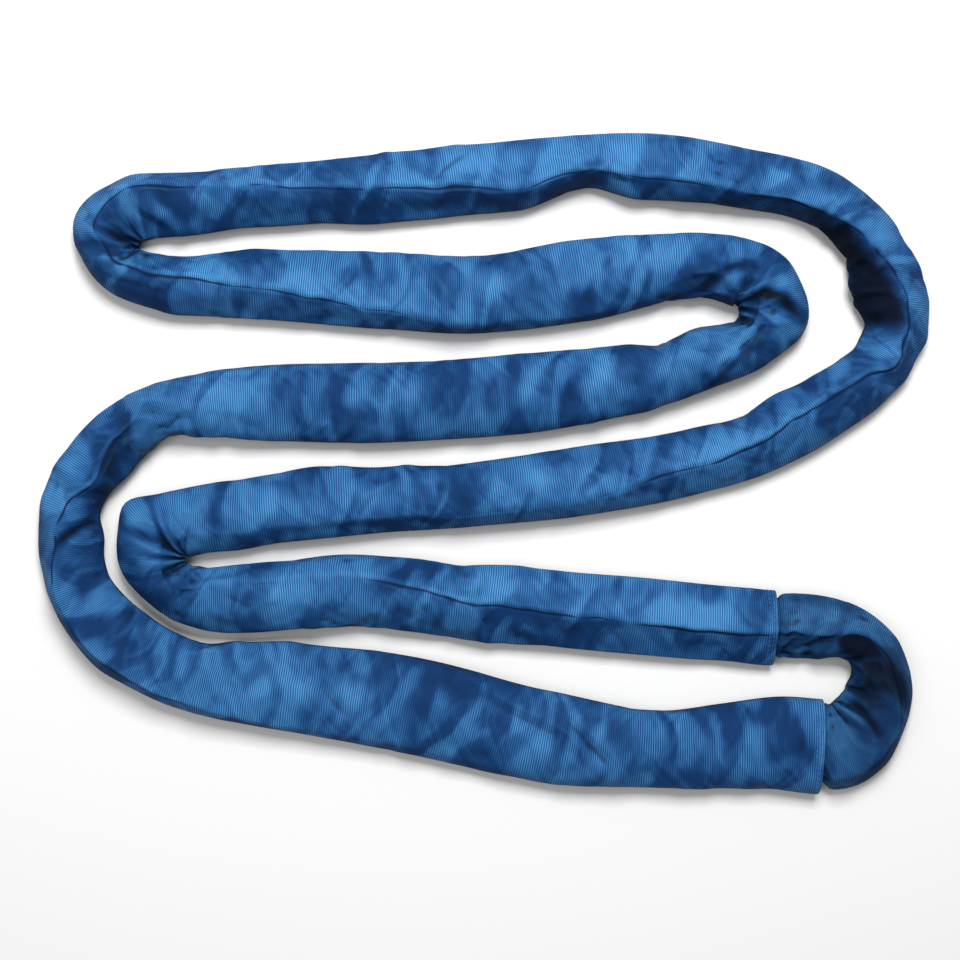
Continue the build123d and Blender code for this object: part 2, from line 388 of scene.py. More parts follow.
# Gathering: how much longer and wider the cloth is than the space it has, how much of the route's
# bends and what height it was pressed with, and how far it may move
ALONG_SLACK = 1.06
AROUND_SLACK = 1.08
BEND_KEPT = 0.35
PRESSED_HEIGHT = 3.5
SETTLE_FRAMES = 18
FARTHEST_MOVE = 6.5

# The cloth itself, and the surfaces that it lies on, in the simulation's own terms
CLOTH = {
    "quality": 6,
    "mass": 0.002,
    "air_damping": 2,
    "time_scale": 2.0,
    "tension_stiffness": 20,
    "compression_stiffness": 20,
    "shear_stiffness": 8,
    "bending_stiffness": 0.8,
    "tension_damping": 5,
    "compression_damping": 5,
    "shear_damping": 5,
    "bending_damping": 0.5,
}
CLOTH_CONTACT = {"distance_min": 0.001, "collision_quality": 2, "use_self_collision": False}
SURFACE = {"thickness_outer": 0.001, "thickness_inner": 0.002, "cloth_friction": 20, "damping": 0.5}

# A sleeve's section: the height of its edges as a share of its own, how far out its crease may be,
# how steep the roof is on the crease's near and far side, and how round its top and underside are
SECTION_POINTS = 181
EDGE_SHARE = 0.40
FARTHEST_CREASE = 0.92
NEAR_SLOPE, FAR_SLOPE = 1.15, 2.1
TOP_ROUND, UNDER_ROUND = 1.1, 0.55

# How far a fold's form reaches, in widths, and how fast it fades to its ends
STEP_REACH, FOLD_REACH = 6, 4
FOLD_FADE = 0.6

# Gathers in the bends: the turn between two, the least turn that gathers, the q they start at on the
# right and left, and each one's length in q, slant, bow, width and depth
GATHER_TURN, LEAST_TURN = 0.6, 0.003
GATHER_START = (0.22, 0.78)
GATHER_LENGTH = (0.16, 0.34)
GATHER_SLANT, GATHER_BOW = 10, 4
GATHER_WIDTH, GATHER_DEPTH = (4.5, 6.5), (1.6, 3.2)

# The upper crease: how far it wanders over what length, its groove, the ledge beside it, the
# ridge pressed along the underside, and the width and darkness of the painted shade along its line
WANDER = ((2.2, 0.05), (0.8, 0.013))
WANDER_REACH = 0.12
SHARPNESS, SHARPNESS_VARIES, SHARPNESS_LENGTH = 0.85, 0.5, 0.06
GROOVE_DEPTH, GROOVE_WIDTH = 1.9, 2.2
LEDGE_HEIGHT, LEDGE_PLACE, LEDGE_WIDTH = 0.9, 4.5, 3.5
RIDGE_HEIGHT, RIDGE_WIDTH = 1.0, 2.4
LINE_WIDTH, CREASE_LINE_SHADE = 1.3, 0.9

# Painted light on one side of the crease: how much paler it makes the cloth, how far, and how the bends change
# that side
PAINTED_SIDE_LIGHT, PAINTED_SIDE_EDGE, PAINTED_SIDE_REACH = 0.5, 1.2, 17
PAINTED_SIDE_TURN = 24

# Which slopes count as the upper side, which get painted shade as the dark flanks, and the lowest point off the
# floor
UPPER_SLOPE, UPPER_OFFSET = 1.6, 0.35
FLANK_SLOPE = 0.75
LOWEST = 0.2

# The share of a ring's steps that are shorter than the one its weave is laid out by, in percent
WEAVE_STEP = 88

# Stray wrinkles: how often each kind comes, its width from and to, and its depth from and to
STRAY_SPACING = 9.0
STRAY_KINDS = {
    "valley": (0.35, (4.5, 9), (0.9, 2.3)),
    "ridge": (0.25, (4.5, 9), (0.9, 2.3)),
    "step": (0.22, (4.0, 6.0), (0.6, 1.4)),
    "crease": (0.18, (4.0, 5.5), (0.6, 1.4)),
}

# No fold is deeper than this
DEEPEST_FOLD = 4.8

# The joint sleeve where it is inside the main one: its lift off the floor, over what length it is
# drawn in, and by what share
JOINT_LIFT = 1.0
TUCK_LENGTH = 4.0
TUCK_SHARE = 0.22

# The hem at each sleeve's ends, as (outwards, inwards) of the edge, and the weave between its rings
HEM_DEPTH = 1.6
HEM_LENGTH = 7.0
HEM_SECTION = ((0.5, 0.25), (0.7, 0.8), (0.4, 1.35), (-1.0, HEM_DEPTH), (-HEM_LENGTH, HEM_DEPTH))
HEM_STEP = 1.4

# The yarn hank: turns in each row, room left at its sides and above, and how its rows are stacked
YARN_ROWS = (4, 5, 4)
YARN_AROUND = 8
YARN_SPACING = 6
YARN_MARGIN = 11.0
YARN_FILL = 0.96
YARN_HEADROOM = 17.0
YARN_STACK = 6.5
YARN_MIDDLE = 0.34
YARN_ROW_STEP = 1.7
TAPE_PLACE = (-133, 132)
TAPE_HALF = 12

# Stitches, and how far each row is from its end of the main sleeve
STITCH_LENGTH = 3.4
STITCH_SPACE = 4.2
STITCH_THICKNESS = 0.7
STITCH_ROWS = {"stitch_row_a_1": 2.0, "stitch_row_a_2": 4.5, "stitch_row_b_1": -2.0, "stitch_row_b_2": -4.5}

# The floor's half width and the camera, in metres
FLOOR_HALF = 6.0
CAMERA_PLACE = (-0.0024, -0.0196, 1.35)
CAMERA_LENS = 62.4


def set_all(target, settings):
    """Gives a thing its settings by name."""
    for setting, value in settings.items():
        setattr(target, setting, value)


def line_through(points):
    """The smooth line with the given points, in millimetres, as its control points; in metres."""
    curve = bpy.data.curves.new("line", "CURVE")
    curve.dimensions = "3D"
    curve.resolution_u = 16
    spline = curve.splines.new("NURBS")
    spline.points.add(len(points) - 1)
    for control, (x, y) in zip(spline.points, points):
        control.co = (x * MM, y * MM, 0.0, 1.0)
    spline.order_u = 3
    spline.use_endpoint_u = True
    carrier = bpy.data.objects.new("line", curve)
    mesh = bpy.data.meshes.new_from_object(carrier)
    line = np.array([vertex.co[:2] for vertex in mesh.vertices])
    bpy.data.objects.remove(carrier)
    bpy.data.meshes.remove(mesh)
    return line


class Centreline:
    """A sleeve's smooth line on the floor, read by the distance along it, with how the sleeve lies."""

    def __init__(self, start, corners, end, shape):
        line = line_through([start, *(ROUTE[corner] for corner in corners), end])
        steps = np.linalg.norm(np.diff(line, axis=0), axis=1)
        kept = steps > 1e-7
        self.line = line[np.r_[True, kept]]
        self.distance = np.r_[0.0, np.cumsum(steps[kept])]
        self.length = self.distance[-1]
        self.places = np.array([self.place(row[0]) for row in shape])
        self.shape = np.array([row[1:] for row in shape], float)

    def place(self, corner):
        """How far along the line a corner of the route is, or a point halfway to the next."""
        if corner == "start":
            return 0.0
        if corner == "end":
            return self.length
        whole = int(corner)
        here = self.nearest(ROUTE[whole])
        return here if corner == whole else (here + self.nearest(ROUTE[whole + 1])) / 2

    def nearest(self, point):
        """The distance along the line that is nearest to a point in millimetres."""
        apart = np.linalg.norm(self.line - np.array(point) * MM, axis=1)
        return self.distance[apart.argmin()]

    def read(self, distance):
        """Points on the line, straight on past its ends."""
        inside = np.clip(distance, 0, self.length)
        point = np.stack([np.interp(inside, self.distance, self.line[:, axis]) for axis in (0, 1)], -1)
        return point + self.heading(inside) * (distance - inside)[..., None]

    def heading(self, distance, reach=0.004):
        """Unit directions along the line."""
        ends = []
        for where in (distance + reach, distance - reach):
            where = np.clip(where, 0, self.length)
            ends.append(np.stack([np.interp(where, self.distance, self.line[:, axis]) for axis in (0, 1)], -1))
        step = ends[0] - ends[1]
        return step / np.linalg.norm(step, axis=-1, keepdims=True)

    def lie(self, distance):
        """How the sleeve lies at distances along it: left, right, height, crease place, crease sharpness."""
        before = np.clip(np.searchsorted(self.places, distance, side="right") - 1, 0, len(self.places) - 2)
        gap = self.places[before + 1] - self.places[before]
        share = np.clip((distance - self.places[before]) / gap, 0, 1)
        share = (share * share * (3 - 2 * share))[:, None]
        return (self.shape[before] * (1 - share) + self.shape[before + 1] * share).T


def outline(left, right, height, crease, sharp):
    """One section through the sleeve, from its underside's middle up its right side and round: millimetres.

    Returns closely spaced points (sideways, up), the girth up to each, and the girth at the upper crease."""
    turn = np.linspace(-math.pi / 2, 1.5 * math.pi, SECTION_POINTS)
    sideways = np.where(np.cos(turn) > 0, -np.cos(turn) * right, -np.cos(turn) * left)
    edge = EDGE_SHARE * height
    round_top = edge + (height - edge) * np.abs(np.sin(turn)) ** TOP_ROUND
    top_place = float(np.clip(crease, -FARTHEST_CREASE, FARTHEST_CREASE))
    top_at = top_place * (left if top_place > 0 else right)
    to_left = sideways > top_at
    run = np.where(to_left, (left - sideways) / (left - top_at), (sideways + right) / (top_at + right))
    run = np.clip(run, 0, 1)
    steep = np.where(to_left == (top_place > 0), NEAR_SLOPE, FAR_SLOPE)
    roof = edge + (height - edge) * (1 - (1 - run) ** steep)
    under = edge * (1 - np.abs(np.sin(turn)) ** UNDER_ROUND)
    up = np.where(np.sin(turn) > 0, (1 - sharp) * round_top + sharp * roof, under)
    girth = np.r_[0, np.cumsum(np.hypot(np.diff(sideways), np.diff(up)))]
    upper = np.sin(turn) > 0
    crease_girth = float(np.interp(top_at, sideways[upper], girth[upper]))
    return sideways, up, girth, crease_girth


def net(centre, distance, columns, inset=0.0, lift=0.0, follow_crease=True):
    """The sleeve's rings as points (ring, column, xyz). Column 0 is opposite the upper crease."""
    points = np.zeros((len(distance), columns, 3))
    heading = centre.heading(distance)
    aside = np.stack([-heading[:, 1], heading[:, 0]], -1)
    middle = centre.read(distance)
    start = np.zeros(len(distance))
    for ring, (left, right, height, crease, sharp) in enumerate(zip(*centre.lie(distance))):
        section = outline(left - inset, right - inset, height - 2 * inset, crease, sharp)
        sideways, up, girth, crease_girth = section
        start[ring] = crease_girth / girth[-1] - 0.5 if follow_crease else 0.0
        where = ((start[ring] + np.arange(columns) / columns) % 1.0) * girth[-1]
        across = np.interp(where, girth, sideways) * MM
        points[ring, :, :2] = middle[ring] + aside[ring] * across[:, None]
        points[ring, :, 2] = (np.interp(where, girth, up) + lift) * MM
    return points, start


def cut_net(centre, distance, points):
    """The same net as the sleeve was woven and pressed: nearly straight, flat, creased along both edges."""
    heading = centre.heading(distance)
    angle = np.unwrap(np.arctan2(heading[:, 1], heading[:, 0]))
    angle = angle[0] + BEND_KEPT * (angle - angle[0])
    direction = np.stack([np.cos(angle), np.sin(angle)], -1)
    middle = np.cumsum(direction * (np.r_[0, np.diff(distance)] * ALONG_SLACK)[:, None], 0)
    aside = np.stack([-direction[:, 1], direction[:, 0]], -1)
    round_trip = np.linalg.norm(np.roll(points, -1, 1) - points, axis=2).sum(1)
    columns = points.shape[1]
    around = np.arange(columns) / columns
    half = round_trip * AROUND_SLACK / 4
    across = np.where(around < 0.5, -1 + 4 * around, 3 - 4 * around)
    side = np.where(around < 0.5, -1, 1)
    cut = np.zeros_like(points)
    cut[:, :, :2] = middle[:, None] + aside[:, None] * (-across * half[:, None])[..., None]
    cut[:, :, 2] = (side * PRESSED_HEIGHT * (1 - across**2) + PRESSED_HEIGHT) * MM
    return cut


def tube(name, points, along=None, around=None):
    """A mesh tube through rings of points, made from a grid and closed where its edges meet.

    Its vertices keep their ring and column. along and around give its weave map, in metres."""
    rings, columns = points.shape[:2]
    bm = bmesh.new()
    bmesh.ops.create_grid(bm, x_segments=rings - 1, y_segments=columns, size=1.0)
    mesh = bpy.data.meshes.new(name)
    bm.to_mesh(mesh)
    bm.free()
    plan = np.empty(len(mesh.vertices) * 3)
    mesh.vertices.foreach_get("co", plan)
    plan = plan.reshape(-1, 3)
    ring = np.rint((plan[:, 0] + 1) / 2 * (rings - 1)).astype(np.int32)
    column = np.rint((plan[:, 1] + 1) / 2 * columns).astype(np.int32)
    mesh.vertices.foreach_set("co", points[ring, column % columns].ravel())
    for attribute, values in (("ring", ring), ("column", column % columns)):
        mesh.attributes.new(attribute, "INT", "POINT").data.foreach_set("value", values)
    if along is not None:
        corner = np.empty(len(mesh.loops), np.int32)
        mesh.loops.foreach_get("vertex_index", corner)
        weave = np.stack([along[ring[corner]], around[ring[corner], column[corner]]], -1)
        mesh.uv_layers.new(name="weave").data.foreach_set("uv", weave.ravel())
    bm = bmesh.new()
    bm.from_mesh(mesh)
    bm.verts.ensure_lookup_table()
    edge = (column == 0) | (column == columns) | (ring == 0) | (ring == rings - 1)
    bmesh.ops.remove_doubles(bm, verts=[bm.verts[int(index)] for index in np.flatnonzero(edge)], dist=1e-7)
    bm.to_mesh(mesh)
    bm.free()
    mesh.shade_smooth()
    return mesh


def ring_and_column(mesh):
    """Each vertex's ring and column."""
    found = []
    for attribute in ("ring", "column"):
        values = np.empty(len(mesh.vertices), np.int32)
        mesh.attributes[attribute].data.foreach_get("value", values)
        found.append(values)
    return found


def show(mesh):
    """An object for a mesh, in the scene."""
    piece = bpy.data.objects.new(mesh.name, mesh)
    bpy.context.scene.collection.objects.link(piece)
    return piece


def collide(mesh):
    """Makes a mesh something that cloth lies on."""
    body = show(mesh)
    body.modifiers.new("solid", "COLLISION")
    set_all(body.collision, SURFACE)
    return body


class Net:
    """A sleeve's coarse net: where its rings are, its cloth as cut, and the core that it gathers over."""

    def __init__(self, name, centre, lift):
        self.name, self.centre = name, centre
        self.distance = np.linspace(0, centre.length, int(centre.length / (NET_SPACING * MM)) + 1)
        self.points, self.start = net(centre, self.distance, NET_AROUND, lift=lift)
        self.cut = cut_net(centre, self.distance, self.points)
        self.core, _ = net(centre, self.distance, CORE_AROUND, CORE_INSET, CORE_LIFT, follow_crease=False)


def settle(sleeves):
    """Lets each net's cut cloth gather over its core and on the floor, and moves the net to it."""
    helpers, cloths = [], []
    for sleeve in sleeves:
        helpers.append(collide(tube(sleeve.name + "_core", sleeve.core)))
        mesh = tube(sleeve.name + "_cloth", sleeve.points)
        ring, column = ring_and_column(mesh)
        cloth = show(mesh)
        cloth.shape_key_add(name="Basis")
        pattern = cloth.shape_key_add(name="cut")
        pattern.data.foreach_set("co", sleeve.cut[ring, column].ravel())
        modifier = cloth.modifiers.new("cloth", "CLOTH")
        set_all(modifier.settings, CLOTH)
        modifier.settings.rest_shape_key = pattern
        modifier.settings.effector_weights.gravity = 0.3
        set_all(modifier.collision_settings, CLOTH_CONTACT)
        modifier.point_cache.frame_start = 1
        modifier.point_cache.frame_end = SETTLE_FRAMES
        cloths.append((cloth, ring, column, sleeve))
    bm = bmesh.new()
    bmesh.ops.create_grid(bm, x_segments=1, y_segments=1, size=1.0)
    ground = bpy.data.meshes.new("ground")
    bm.to_mesh(ground)
    bm.free()
    helpers.append(collide(ground))
    scene = bpy.context.scene
    scene.frame_start, scene.frame_end = 1, SETTLE_FRAMES
    for frame_number in range(1, SETTLE_FRAMES + 1):
        scene.frame_set(frame_number)
    depsgraph = bpy.context.evaluated_depsgraph_get()
    farthest = FARTHEST_MOVE * MM
    for cloth, ring, column, sleeve in cloths:
        mesh = bpy.data.meshes.new_from_object(cloth.evaluated_get(depsgraph))
        places = np.empty(len(mesh.vertices) * 3)
        mesh.vertices.foreach_get("co", places)
        settled = sleeve.points.copy()
        settled[ring, column] = places.reshape(-1, 3)
        move = settled - sleeve.points
        distance = np.linalg.norm(move, axis=2, keepdims=True)
        held_back = farthest * np.tanh(distance / farthest) / np.maximum(distance, 1e-9)
        sleeve.points = sleeve.points + move * held_back
        bpy.data.meshes.remove(mesh)
    for cloth, *_ in cloths:
        bpy.data.objects.remove(cloth)
    for helper in helpers:
        bpy.data.objects.remove(helper)
    scene.frame_set(1)


def blend_four(values, place, axis, closed):
    """Values read smoothly between their places along an axis (Catmull-Rom)."""
    count = values.shape[axis]
    whole = np.floor(place).astype(int)
    t = place - whole
    weights = (
        (-t + 2 * t**2 - t**3) / 2,
        (2 - 5 * t**2 + 3 * t**3) / 2,
        (t + 4 * t**2 - 3 * t**3) / 2,
        (-(t**2) + t**3) / 2,
    )
    total = 0.0
    for offset, weight in zip((-1, 0, 1, 2), weights):
        index = (whole + offset) % count if closed else np.clip(whole + offset, 0, count - 1)
        if axis == 0:
            total = total + values[index] * weight[:, None, None]
        else:
            total = total + np.take_along_axis(values, index[..., None], 1) * weight[..., None]
    return total


def normals_of(points):
    """Outward normals of a tube's grid of points."""
    along = np.gradient(points, axis=0)
    around = np.roll(points, -1, 1) - np.roll(points, 1, 1)
    normal = np.cross(along, around)
    return normal / np.maximum(np.linalg.norm(normal, axis=2, keepdims=True), 1e-12)


def fold_height(places, line, kind, width, depth):
    """How far cloth at places on a plane rises or sinks by a fold along a line: millimetres."""
    height = np.zeros(len(places))
    line = np.asarray(line, float)
    reach = width * (STEP_REACH if kind == "step" else FOLD_REACH)
    low, high = line.min(0) - reach, line.max(0) + reach
    near = np.flatnonzero(((places > low) & (places < high)).all(1))
    if not len(near):
        return height
    start, step = line[:-1], np.diff(line, axis=0)
    run = np.linalg.norm(step, axis=1)
    offset = places[near][:, None] - start
    share = np.clip((offset * step).sum(2) / run**2, 0, 1)
    apart = offset - share[..., None] * step
    distance = np.linalg.norm(apart, axis=2)
    nearest = distance.argmin(1)
    pick = np.arange(len(near)), nearest
    distance = distance[pick]
    side = np.sign(step[nearest, 0] * apart[pick][:, 1] - step[nearest, 1] * apart[pick][:, 0])
    travelled = (np.r_[0, np.cumsum(run)][nearest] + share[pick] * run[nearest]) / run.sum()
    taper = np.sin(math.pi * np.clip(travelled, 0.02, 0.98)) ** FOLD_FADE
    t = distance / width
    if kind == "step":
        form = side * np.tanh(1.6 * t) * np.exp(-t / 2.2)
    elif kind == "crease":
        form = 0.4 * np.exp(-((t - 1.8) ** 2)) - np.exp(-(t**2) * 1.3)
    elif kind == "ridge":
        form = np.exp(-(t**2))
    else:
        form = -np.exp(-(t**2))
    height[near] = depth * taper * form
    return height


def bend_gathers(centre, rng):
    """Short folds across the inner side of each bend, in the cloth's own plane: (distance, q) lines."""
    distance = np.arange(0.01, centre.length - 0.01, 0.001)
    heading = centre.heading(distance, reach=0.012)
    turn = np.gradient(np.unwrap(np.arctan2(heading[:, 1], heading[:, 0])))
    folds, saved = [], 0.0
    for place, step in zip(distance, turn):
        saved += abs(step)
        if saved > GATHER_TURN and abs(step) > LEAST_TURN:
            saved = 0.0
            inner = GATHER_START[step > 0]
            length = rng.uniform(*GATHER_LENGTH)
            towards = -length if step > 0 else length
            slant = rng.uniform(-GATHER_SLANT, GATHER_SLANT)
            bow = rng.uniform(-GATHER_BOW, GATHER_BOW)
            line = [
                (place / MM, inner),
                (place / MM + slant / 2 + bow, inner + towards / 2),
                (place / MM + slant, inner + towards),
            ]
            folds.append(("crease", rng.uniform(*GATHER_WIDTH), rng.uniform(*GATHER_DEPTH), line))
    return folds


def stray_wrinkles(centre, rng):
    """Faint slanting wrinkles and hollows all along the upper side, as the handled cloth has."""
    folds = []
    for place in np.arange(10, centre.length / MM - 10, STRAY_SPACING):
        middle = place + rng.uniform(-6, 6)
        q = rng.uniform(0.24, 0.76)
        lean = rng.choice([-1, 1]) * rng.uniform(0.3, 1.3)
        half = rng.uniform(7, 24)
        along, across = half * math.cos(lean), half * math.sin(lean) / 165
        bow = rng.uniform(-3, 3)
        line = [(middle - along, q - across), (middle + bow, q + bow / 300), (middle + along, q + across)]
        kind = rng.choice(list(STRAY_KINDS), p=[often for often, *_ in STRAY_KINDS.values()])
        _, width, depth = STRAY_KINDS[kind]
        folds.append((kind, rng.uniform(*width), rng.uniform(*depth), line))
    return folds


def unsteady(distance, rng, length):
    """A smooth random value between about -1 and 1 along the sleeve, changing over a length."""
    knots = np.arange(0, distance[-1] + 3 * length, length)
    values = rng.uniform(-1, 1, len(knots))
    place = distance / length
    whole = np.floor(place).astype(int)
    share = place - whole
    share = share * share * (3 - 2 * share)
    return values[whole] * (1 - share) + values[whole + 1] * share


def upper_share():
    """Even steps of q and the share of the sleeve's columns below each, denser over the upper side."""
    q = np.linspace(0, 1, 801)
    window = (np.tanh((q - 0.19) / 0.03) - np.tanh((q - 0.81) / 0.03)) / 2
    under = FINE_AROUND - TOP_POINTS
    density = under / 0.4 + (TOP_POINTS / 0.6 - under / 0.4) * window
    share = np.r_[0, np.cumsum((density[1:] + density[:-1]) / 2)]
    return q, share / share[-1]


def fine_columns(start):
    """Each fine column's q in each ring, and its share of the girth from the upper crease, from -0.5 to 0.5."""
    q, share = upper_share()
    crease_q = (start + 0.5) % 1.0
    steps = np.arange(FINE_AROUND + 1) / FINE_AROUND - 0.5
    column_share = np.interp(crease_q, q, share)[:, None] + steps
    column_q = np.interp(column_share % 1.0, share, q) + np.floor(column_share)
    from_crease = column_q - crease_q[:, None]
    from_crease[:, FINE_AROUND // 2] = 0.0
    from_crease[:, -1] = from_crease[:, 0] + 1.0
    return column_q[:, :-1] % 1.0, from_crease


def pulled(points):
    """Moves the points by the local shifts of the outline."""
    for (x, y), (across, up), reach in PULLS:
        apart = np.hypot(points[..., 0] / MM - x, points[..., 1] / MM - y)
        share = np.exp(-((apart / reach) ** 2)) * MM
        points[..., 0] += across * share
        points[..., 1] += up * share


def drawn_in(points, fine, hidden):
    """The rings before and after two distances drawn in towards the floor's middle, to fit another sleeve."""
    tucked = np.maximum(hidden[0] - fine, fine - hidden[1]) / TUCK_LENGTH / MM
    share = TUCK_SHARE * (np.tanh(2 * tucked) + 1) / 2
    middle = points.mean(1, keepdims=True)
    middle[..., 2] = JOINT_LIFT * MM
    return middle + (points - middle) * (1 - share[:, None, None])


def finish_sleeve(name, sleeve, spacing, seed, hidden=None):
    """The sleeve as seen: fine rings on the settled net, with sharp creases, folds and turned-in hems.

    hidden gives the distances before and after which it lies drawn in, inside another sleeve."""
    centre = sleeve.centre
    rings = int(round(centre.length / (spacing * MM))) + 1
    fine = np.linspace(0, centre.length, rings)
    place = np.interp(fine, sleeve.distance, np.arange(len(sleeve.distance)))
    rough = blend_four(sleeve.points, place, 0, closed=False)
    upright_q, from_crease = fine_columns(np.interp(fine, sleeve.distance, sleeve.start))
    of_girth = from_crease[:, :-1]
    rng = np.random.default_rng(seed)
    girth = np.linalg.norm(np.roll(rough, -1, 1) - rough, axis=2).sum(1) / MM
    wander = sum(far * unsteady(fine, rng, length) for far, length in WANDER) / girth
    shifted = of_girth + wander[:, None] * np.exp(-((of_girth / WANDER_REACH) ** 2))
    points = blend_four(rough, (shifted + 0.5) * NET_AROUND, 1, closed=True)

    # The upper crease is a groove with a ledge beside it; painted light makes the cloth paler on one side of it
    # and painted shade darker on the other, the side chosen by which way the sleeve runs
    *_, sharp = centre.lie(fine)
    varied = SHARPNESS + SHARPNESS_VARIES * unsteady(fine, rng, SHARPNESS_LENGTH)
    sharp = (sharp * np.clip(varied, 0.35, 1.2))[:, None]
    heading = centre.heading(fine, reach=0.02)
    turning = np.gradient(np.unwrap(np.arctan2(heading[:, 1], heading[:, 0])), fine / MM)
    lit_on_left = np.clip(heading[:, 0] - PAINTED_SIDE_TURN * turning, -1, 1)[:, None]
    aside = of_girth * girth[:, None]
    to_under = np.abs(np.abs(of_girth) - 0.5) * girth[:, None]
    ledge = np.exp(-(((np.abs(aside) - LEDGE_PLACE) / LEDGE_WIDTH) ** 2)) * np.sign(aside)
    lift = -GROOVE_DEPTH * sharp * np.exp(-((aside / GROOVE_WIDTH) ** 2))
    lift += LEDGE_HEIGHT * sharp * ledge * lit_on_left
    lift += RIDGE_HEIGHT * np.exp(-to_under / RIDGE_WIDTH)
    # Painted shade along the crease's line
    crease_line_shade = CREASE_LINE_SHADE * sharp * np.exp(-((aside / LINE_WIDTH) ** 2))

    # Gathers and stray wrinkles lie in the cloth's own plane, the pressed folds and the painted light and shade
    # on the plan
    normal = normals_of(points)
    upper = np.clip(normal[..., 2] * UPPER_SLOPE + UPPER_OFFSET, 0, 1)
    cloth_plane = np.stack([np.broadcast_to(fine[:, None] / MM, aside.shape), upright_q * girth.mean()], -1)
    cloth_plane = cloth_plane.reshape(-1, 2)
    for kind, width, depth, line in bend_gathers(centre, rng) + stray_wrinkles(centre, rng):
        line = line_through([(where, at * girth.mean()) for where, at in line]) / MM
        lift += fold_height(cloth_plane, line, kind, width, depth).reshape(lift.shape) * upper
    pulled(points)
    plan = points[..., :2].reshape(-1, 2) / MM
    # Painted light and shade from the placed strokes
    light_and_shade = np.zeros(len(plan))
    for amount, width, line in LIGHT_AND_SHADE_STROKES:
        light_and_shade += amount * -fold_height(plan, line_through(line) / MM, "valley", width, 1.0)
    light_and_shade = light_and_shade.reshape(aside.shape)
    # Painted light on one side of the crease and painted shade on the other
    light_and_shade += PAINTED_SIDE_LIGHT * sharp * lit_on_left * np.tanh(aside / PAINTED_SIDE_EDGE) * np.exp(-np.abs(aside) / PAINTED_SIDE_REACH)
    for kind, width, depth, line in FOLDS:
        lift += fold_height(plan, line_through(line) / MM, kind, width, depth).reshape(lift.shape) * upper
    lift[1:-1] = (lift[:-2] + 2 * lift[1:-1] + lift[2:]) / 4
    lift = DEEPEST_FOLD * np.tanh(lift / DEEPEST_FOLD)
    points = points + normal * (lift * MM)[..., None]
    if hidden:
        points = drawn_in(points, fine, hidden)
    points[..., 2] = np.maximum(points[..., 2], LOWEST * MM)
    # Painted shade on the steep sides, from the slope of the surface
    flank_shade = 1 - np.clip(normals_of(points)[..., 2] / FLANK_SLOPE, 0, 1)

    # The weave map runs at the length of each ring's longer steps, so the ribs aren't squeezed
    longest = np.percentile(np.linalg.norm(np.diff(points, axis=0), axis=2), WEAVE_STEP, axis=1)
    along = np.r_[0, np.cumsum(longest)]
    hemmed, along, around = turn_in(points, along, (from_crease + 0.25) * SLEEVE_GIRTH)
    mesh = tube(name, hemmed, along, around)
    ring, column = ring_and_column(mesh)
    of_cloth = np.clip(ring - len(HEM_SECTION), 0, len(points) - 1)
    # Values the material paints light and shade by: shade in folds, a highlight on sharp ridges and shade along
    # the crease's line; the placed painted light and shade; shade on the steep sides
    shades = {
        "fold_shading": bending(hemmed)[ring, column] + crease_line_shade[of_cloth, column],
        "light_and_shade": light_and_shade[of_cloth, column],
        "flank_shade": flank_shade[of_cloth, column],
    }
    for attribute, values in shades.items():
        mesh.attributes.new(attribute, "FLOAT", "POINT").data.foreach_set("value", values)
    return mesh, points


def turn_in(points, along, around):
    """Adds a hem at both ends: the cloth turns inwards over its edge and lies against itself."""
    hems = []
    for edge, behind in ((points[0], points[2]), (points[-1], points[-3])):
        middle = edge.mean(0)
        heading = middle - behind.mean(0)
        heading /= np.linalg.norm(heading)
        inward = middle - edge
        inward /= np.linalg.norm(inward, axis=1, keepdims=True)
        rings = [edge + inward * (inset * MM) + heading * (out * MM) for out, inset in HEM_SECTION]
        hems.append(np.array(rings))
    added = len(HEM_SECTION)
    extra = np.arange(1, added + 1) * HEM_STEP * MM
    points = np.concatenate([hems[0][::-1], points, hems[1]])
    along = np.concatenate([along[0] - extra[::-1], along, along[-1] + extra])
    around = np.concatenate([np.repeat(around[:1], added, 0), around, np.repeat(around[-1:], added, 0)])
    return points, along, around


def bending(points):
    """How much the surface curves in at each point: from -1 on a sharp ridge to 1 in a tight fold; the sleeve's
    material paints shade in folds and a highlight on ridges by it.
    """
    normal = normals_of(points)
    bent = np.zeros(points.shape[:2])
    for axis, closed in ((0, False), (1, True)):
        ahead, behind = np.roll(points, -1, axis) - points, np.roll(points, 1, axis) - points
        size = (np.linalg.norm(ahead, axis=2) + np.linalg.norm(behind, axis=2)) / 2
        part = ((ahead + behind) * normal).sum(2) / np.maximum(size, 1e-5) ** 2
        if not closed:
            part[:1] = part[-1:] = 0
        bent += part
    for _ in range(3):
        inner = (np.roll(bent, 1, 0) + np.roll(bent, -1, 0) + np.roll(bent, 1, 1) + np.roll(bent, -1, 1)) / 4
        bent = 0.5 * bent + 0.5 * inner
    return np.tanh(bent / 220)


